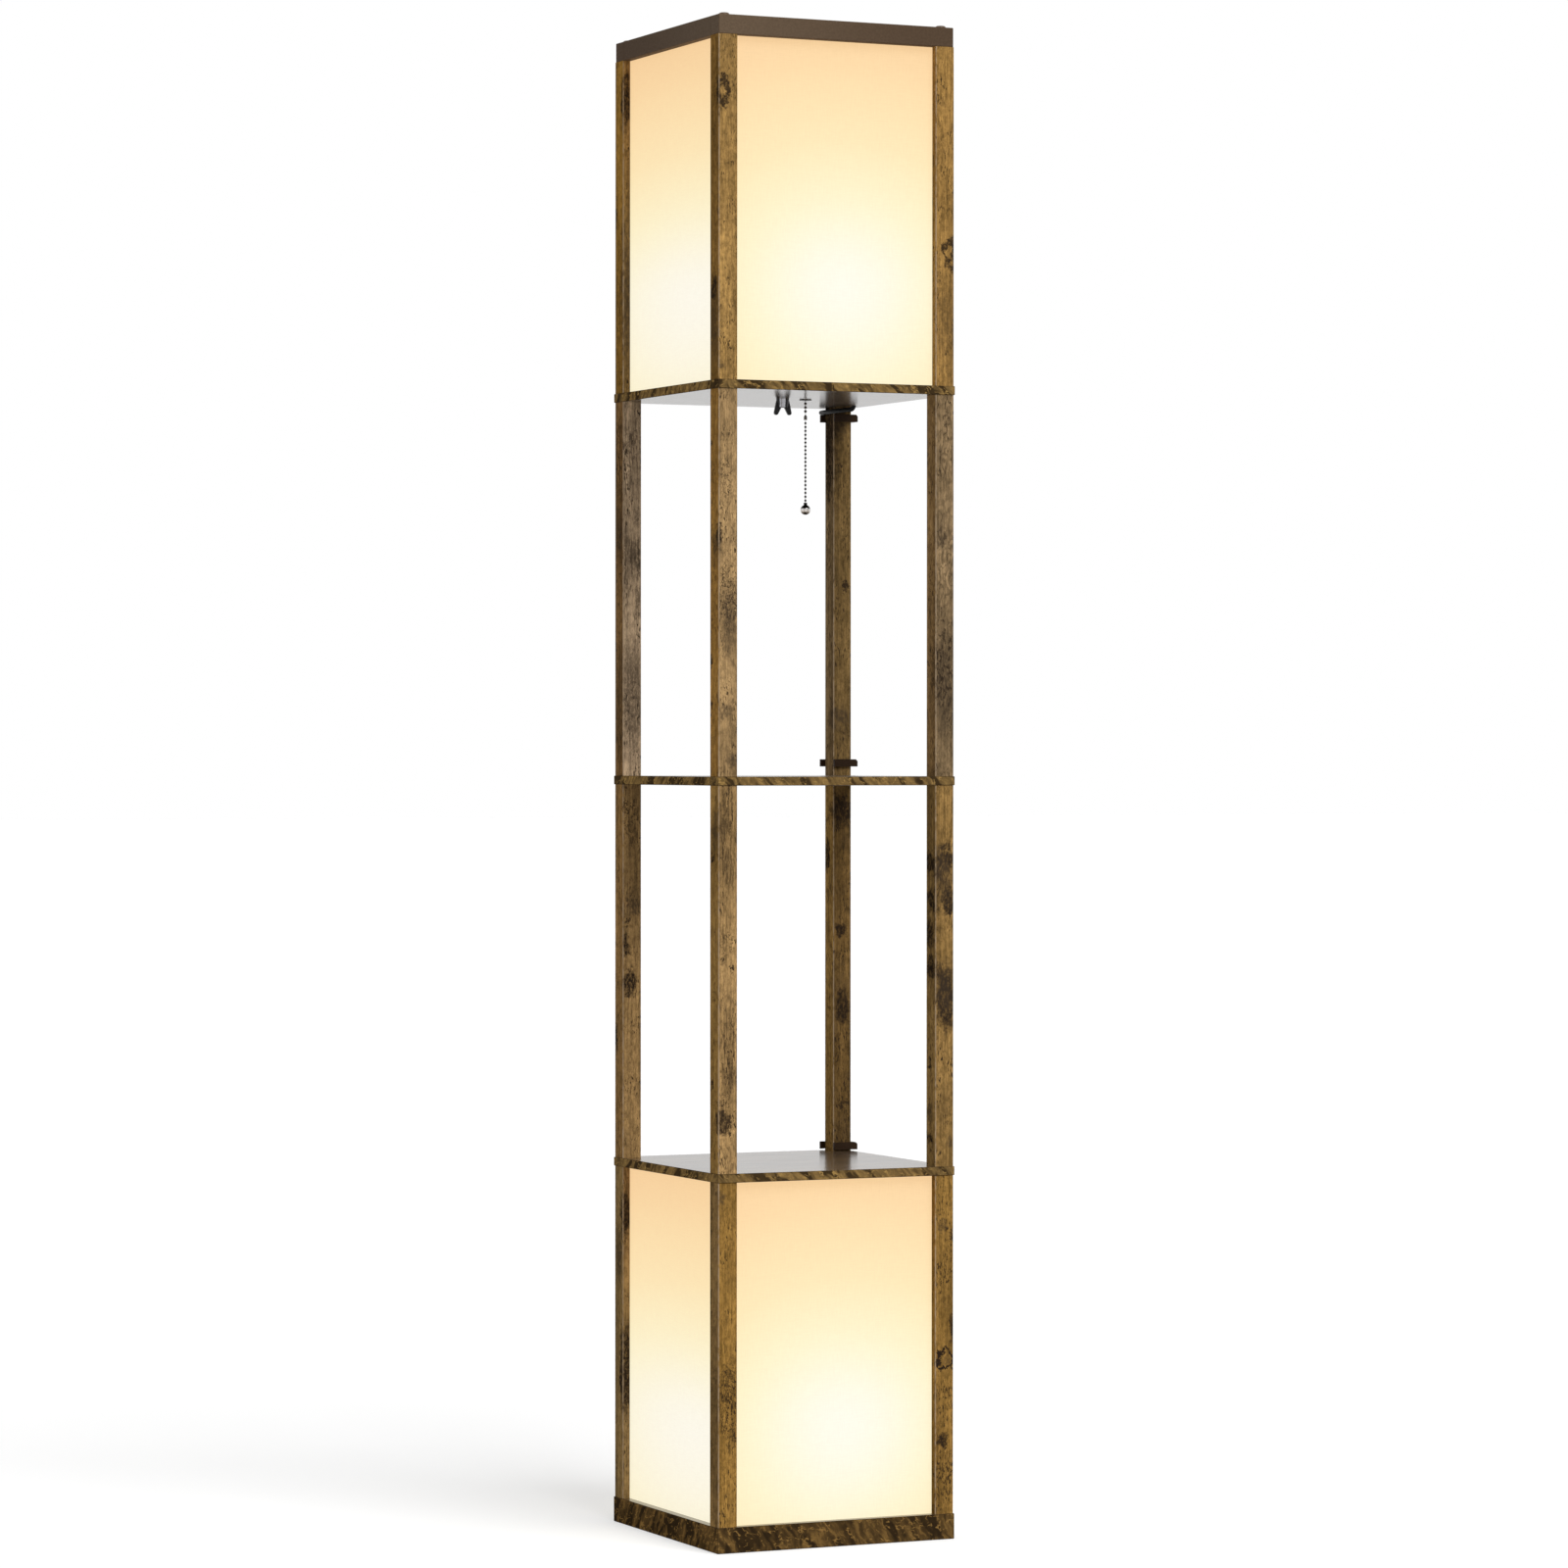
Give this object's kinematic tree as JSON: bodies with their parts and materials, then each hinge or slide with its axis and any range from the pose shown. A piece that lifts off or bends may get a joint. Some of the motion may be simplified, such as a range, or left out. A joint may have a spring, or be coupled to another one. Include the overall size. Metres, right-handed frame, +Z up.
{
  "type": "shelf floor lamp",
  "caption": "Square tower floor lamp with a lit shade box at the top and at the foot, open shelf bays between them and a hanging pull chain.",
  "frame": {"origin": "middle of the underside of the base board, on the floor", "axes": "+Z up, +X to the right, +Y to the back; the front faces -Y"},
  "size_m": [0.2806, 0.2836, 1.6025],
  "materials": {
    "plinth_wood": "satin printed wood grain, dark brown with lighter veins",
    "hardboard": "plain hardboard",
    "rustic_wood": "satin printed rustic wood grain",
    "shelf_wood": "semi-gloss faces and banded edge",
    "top_wood": "satin dark brown paint",
    "top_cap": "matte",
    "shade": "fine linen laminate, lit from inside",
    "zinc_steel": "zinc plated",
    "nickel": "polished nickel",
    "black_plastic": "semi-gloss black",
    "white_porcelain": "semi-gloss white",
    "bulb_plastic": "satin white",
    "bulb_opal": "opal, lit",
    "lever_plastic": "natural nylon",
    "terminal_plastic": "satin",
    "clip_plastic": "dark brown, matte",
    "lead_sheath": "smooth black vinyl"
  },
  "bodies": {
    "lamp": {"base_board": "plinth_wood", "base_cover": "hardboard", "lower_lit_post_front_left": "rustic_wood", "lower_lit_post_front_right": "rustic_wood", "lower_lit_post_rear_left": "rustic_wood", "lower_lit_post_rear_right": "rustic_wood", "lower_bay_post_front_left": "rustic_wood", "lower_bay_post_front_right": "rustic_wood", "lower_bay_post_rear_left": "rustic_wood", "lower_bay_post_rear_right": "rustic_wood", "upper_bay_post_front_left": "rustic_wood", "upper_bay_post_front_right": "rustic_wood", "upper_bay_post_rear_left": "rustic_wood", "upper_bay_post_rear_right": "rustic_wood", "upper_lit_post_front_left": "rustic_wood", "upper_lit_post_front_right": "rustic_wood", "upper_lit_post_rear_left": "rustic_wood", "upper_lit_post_rear_right": "rustic_wood", "lower_shelf": "shelf_wood", "middle_shelf": "shelf_wood", "upper_shelf": "shelf_wood", "top_rail_front": "top_wood", "top_rail_rear": "top_wood", "top_rail_left": "top_wood", "top_rail_right": "top_wood", "top_screw_caps": "top_cap", "lower_shade_front": "shade", "lower_shade_rear": "shade", "lower_shade_left": "shade", "lower_shade_right": "shade", "upper_shade_front": "shade", "upper_shade_rear": "shade", "upper_shade_left": "shade", "upper_shade_right": "shade", "post_studs": "zinc_steel", "frame_screws": "zinc_steel", "lower_lock_nut": "zinc_steel", "lower_nipple": "nickel", "upper_nipple": "nickel", "switch_neck_nut": "nickel", "upper_wing_nut": "black_plastic", "switch_housing": "black_plastic", "switch_cover": "black_plastic", "cord_gland": "black_plastic", "lower_holder_cup": "black_plastic", "upper_holder_cup": "black_plastic", "lower_socket": "white_porcelain", "upper_socket": "white_porcelain", "lower_bulb_base": "bulb_plastic", "upper_bulb_base": "bulb_plastic", "lower_bulb_globe": "bulb_opal", "upper_bulb_globe": "bulb_opal", "terminal_block": "terminal_plastic", "cord_clips": "clip_plastic", "held_lead": "lead_sheath"},
    "pull": {"chain_head": "nickel"},
    "rocker": {"switch_lever": "lever_plastic"},
    "connector": {"chain_connector": "nickel"},
    "tail": {"chain_tail": "nickel", "chain_ball": "nickel"}
  },
  "joints": [
    {"name": "chain_pull", "type": "slide", "parent": "lamp", "child": "pull", "axis": [0, 0, -1], "range_m": [0, 0.006], "stiffness_N_per_m": 500, "springref_m": -0.004},
    {"name": "lever_rock", "type": "hinge", "parent": "lamp", "child": "rocker", "pos_m": [0.027, 0.0095, 1.233], "axis": [1, 0, 0], "range_deg": [0, 30]},
    {"name": "chain_sway_sideways", "type": "hinge", "parent": "pull", "child": "connector", "pos_m": [0.027, 0, 1.196], "axis": [0, 1, 0], "range_deg": [-60, 60]},
    {"name": "chain_sway_back", "type": "hinge", "parent": "connector", "child": "tail", "pos_m": [0.027, 0, 1.1894], "axis": [1, 0, 0], "range_deg": [-60, 60]}
  ],
  "couplings": [
    {"joint": "lever_rock", "follows": "chain_pull", "rad_per_m": 84.358}
  ]
}
